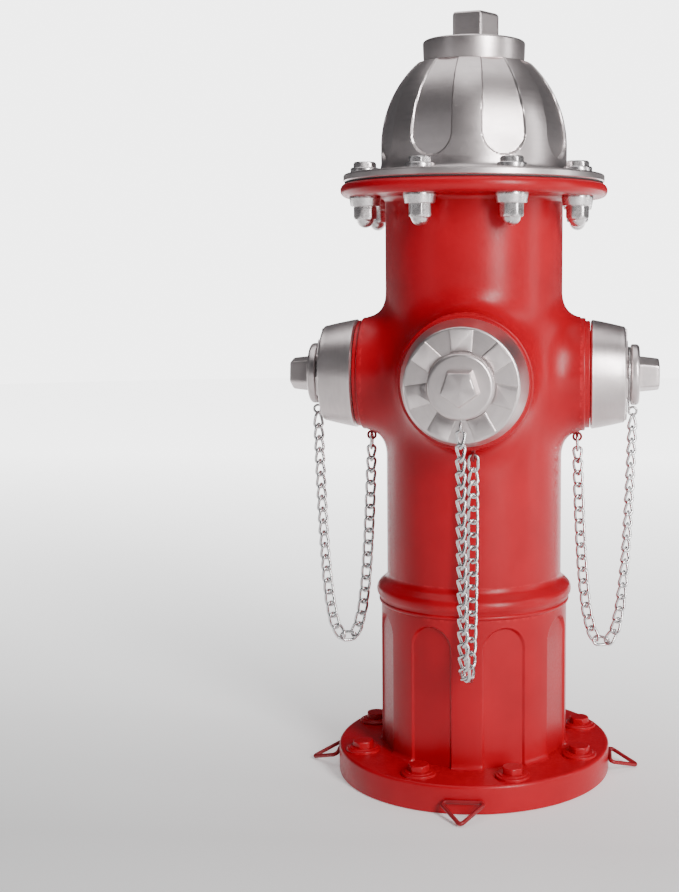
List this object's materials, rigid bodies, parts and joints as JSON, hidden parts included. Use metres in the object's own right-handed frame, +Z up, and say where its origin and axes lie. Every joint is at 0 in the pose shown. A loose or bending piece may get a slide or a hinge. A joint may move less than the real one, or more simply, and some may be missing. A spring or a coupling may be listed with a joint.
{
  "type": "garden fire hydrant ornament",
  "caption": "Small cast-metal hydrant with bolted bonnet and foot, screw caps held by keeper chains, a five-sided operating nut and wire loops for ground stakes.",
  "frame": {"origin": "centre of the foot's underside, on the hydrant's axis", "axes": "+Z up the hydrant's axis; the front nozzle points along -Y and the side nozzles along -X and +X"},
  "size_m": [0.18, 0.1717, 0.3683],
  "materials": {
    "red_paint": "satin",
    "cast_silver": "satin",
    "bright_fastener": "polished",
    "chain_zinc": "bright zinc",
    "plain_steel": "turned",
    "painted_wire": "satin",
    "rubber": "matte"
  },
  "bodies": {
    "hydrant": {"foot_flange": "red_paint", "foot_washers": "red_paint", "foot_bolts": "red_paint", "stake_loop_front": "painted_wire", "stake_loop_left": "painted_wire", "stake_loop_right": "painted_wire", "stake_loop_back": "painted_wire", "lower_barrel": "red_paint", "joint_ring": "red_paint", "upper_barrel": "red_paint", "outlet_front": "red_paint", "outlet_left": "red_paint", "outlet_right": "red_paint", "top_flange": "red_paint", "nozzle_insert_front": "red_paint", "nozzle_insert_left": "red_paint", "nozzle_insert_right": "red_paint", "chain_eye_front": "painted_wire", "chain_eye_left": "painted_wire", "chain_eye_right": "painted_wire", "bonnet_gasket": "rubber", "bonnet": "cast_silver", "bolt_washers": "bright_fastener", "flange_bolts": "bright_fastener", "flange_collars": "bright_fastener", "acorn_nuts": "bright_fastener", "spindle_seal": "rubber", "thrust_washer": "plain_steel"},
    "nut_and_spindle": {"operating_nut": "cast_silver", "spindle": "plain_steel", "spindle_lock_nut": "plain_steel"},
    "front_keeper_ring": {"keeper_ring_front": "plain_steel"},
    "front_cap": {"cap_front": "cast_silver", "cap_gasket_front": "rubber"},
    "front_hook_link": {"chain_hook_link_front": "chain_zinc"},
    "front_chain_cap_leg": {"chain_cap_leg_front": "chain_zinc"},
    "front_chain_body_leg": {"chain_body_leg_front": "chain_zinc"},
    "left_keeper_ring": {"keeper_ring_left": "plain_steel"},
    "left_cap": {"cap_left": "cast_silver", "cap_gasket_left": "rubber"},
    "left_hook_link": {"chain_hook_link_left": "chain_zinc"},
    "left_chain_cap_leg": {"chain_cap_leg_left": "chain_zinc"},
    "left_chain_body_leg": {"chain_body_leg_left": "chain_zinc"},
    "right_keeper_ring": {"keeper_ring_right": "plain_steel"},
    "right_cap": {"cap_right": "cast_silver", "cap_gasket_right": "rubber"},
    "right_hook_link": {"chain_hook_link_right": "chain_zinc"},
    "right_chain_cap_leg": {"chain_cap_leg_right": "chain_zinc"},
    "right_chain_body_leg": {"chain_body_leg_right": "chain_zinc"}
  },
  "joints": [
    {"name": "operating_nut_turn", "type": "hinge", "parent": "hydrant", "child": "nut_and_spindle", "pos_m": [0, 0, 0.355], "axis": [0, 0, 1], "continuous": true},
    {"name": "front_cap_travel", "type": "slide", "parent": "hydrant", "child": "front_keeper_ring", "axis": [0, -1, 0], "range_m": [0, 0.00601]},
    {"name": "front_cap_turn", "type": "hinge", "parent": "front_keeper_ring", "child": "front_cap", "pos_m": [0, -0.07, 0.1962], "axis": [0, -1, 0], "range_deg": [0, 1080]},
    {"name": "front_chain_swing", "type": "hinge", "parent": "front_keeper_ring", "child": "front_hook_link", "pos_m": [0, -0.07735, 0.17655], "axis": [0.1053, 0.8715, -0.4789], "range_deg": [-10, 10]},
    {"name": "front_chain_tilt", "type": "hinge", "parent": "front_hook_link", "child": "front_chain_cap_leg", "pos_m": [0.00002, -0.07719, 0.17055], "axis": [1, 0, 0], "range_deg": [0, 1.46]},
    {"name": "front_chain_fold", "type": "hinge", "parent": "front_chain_cap_leg", "child": "front_chain_body_leg", "pos_m": [0.00208, -0.06189, 0.06121], "axis": [1, 0, 0], "range_deg": [-3.34, 0]},
    {"name": "left_cap_travel", "type": "slide", "parent": "hydrant", "child": "left_keeper_ring", "axis": [-1, 0, 0], "range_m": [0, 0.00601]},
    {"name": "left_cap_turn", "type": "hinge", "parent": "left_keeper_ring", "child": "left_cap", "pos_m": [-0.07, 0, 0.1962], "axis": [-1, 0, 0], "range_deg": [0, 1080]},
    {"name": "left_chain_swing", "type": "hinge", "parent": "left_keeper_ring", "child": "left_hook_link", "pos_m": [-0.07735, 0, 0.17655], "axis": [0.9192, 0, -0.3938], "range_deg": [-16, 16]},
    {"name": "left_chain_tilt", "type": "hinge", "parent": "left_hook_link", "child": "left_chain_cap_leg", "pos_m": [-0.07719, 0, 0.17055], "axis": [0, -1, 0], "range_deg": [0, 1.94]},
    {"name": "left_chain_fold", "type": "hinge", "parent": "left_chain_cap_leg", "child": "left_chain_body_leg", "pos_m": [-0.06659, 0, 0.06375], "axis": [0, -1, 0], "range_deg": [-3.32, 0]},
    {"name": "right_cap_travel", "type": "slide", "parent": "hydrant", "child": "right_keeper_ring", "axis": [1, 0, 0], "range_m": [0, 0.00601]},
    {"name": "right_cap_turn", "type": "hinge", "parent": "right_keeper_ring", "child": "right_cap", "pos_m": [0.07, 0, 0.1962], "axis": [1, 0, 0], "range_deg": [0, 1080]},
    {"name": "right_chain_swing", "type": "hinge", "parent": "right_keeper_ring", "child": "right_hook_link", "pos_m": [0.07735, 0, 0.17655], "axis": [-0.9192, 0, -0.3938], "range_deg": [-16, 16]},
    {"name": "right_chain_tilt", "type": "hinge", "parent": "right_hook_link", "child": "right_chain_cap_leg", "pos_m": [0.07719, 0, 0.17055], "axis": [0, 1, 0], "range_deg": [0, 1.94]},
    {"name": "right_chain_fold", "type": "hinge", "parent": "right_chain_cap_leg", "child": "right_chain_body_leg", "pos_m": [0.06659, 0, 0.06375], "axis": [0, 1, 0], "range_deg": [-3.32, 0]}
  ],
  "couplings": [
    {"joint": "front_cap_travel", "follows": "front_cap_turn", "m_per_rad": 0.00031831},
    {"joint": "front_chain_tilt", "follows": "front_cap_turn", "ratio": 0.0013441},
    {"joint": "front_chain_fold", "follows": "front_cap_turn", "ratio": -0.0030814},
    {"joint": "left_cap_travel", "follows": "left_cap_turn", "m_per_rad": 0.00031831},
    {"joint": "left_chain_tilt", "follows": "left_cap_turn", "ratio": 0.0017831},
    {"joint": "left_chain_fold", "follows": "left_cap_turn", "ratio": -0.0030674},
    {"joint": "right_cap_travel", "follows": "right_cap_turn", "m_per_rad": 0.00031831},
    {"joint": "right_chain_tilt", "follows": "right_cap_turn", "ratio": 0.0017831},
    {"joint": "right_chain_fold", "follows": "right_cap_turn", "ratio": -0.0030674}
  ]
}
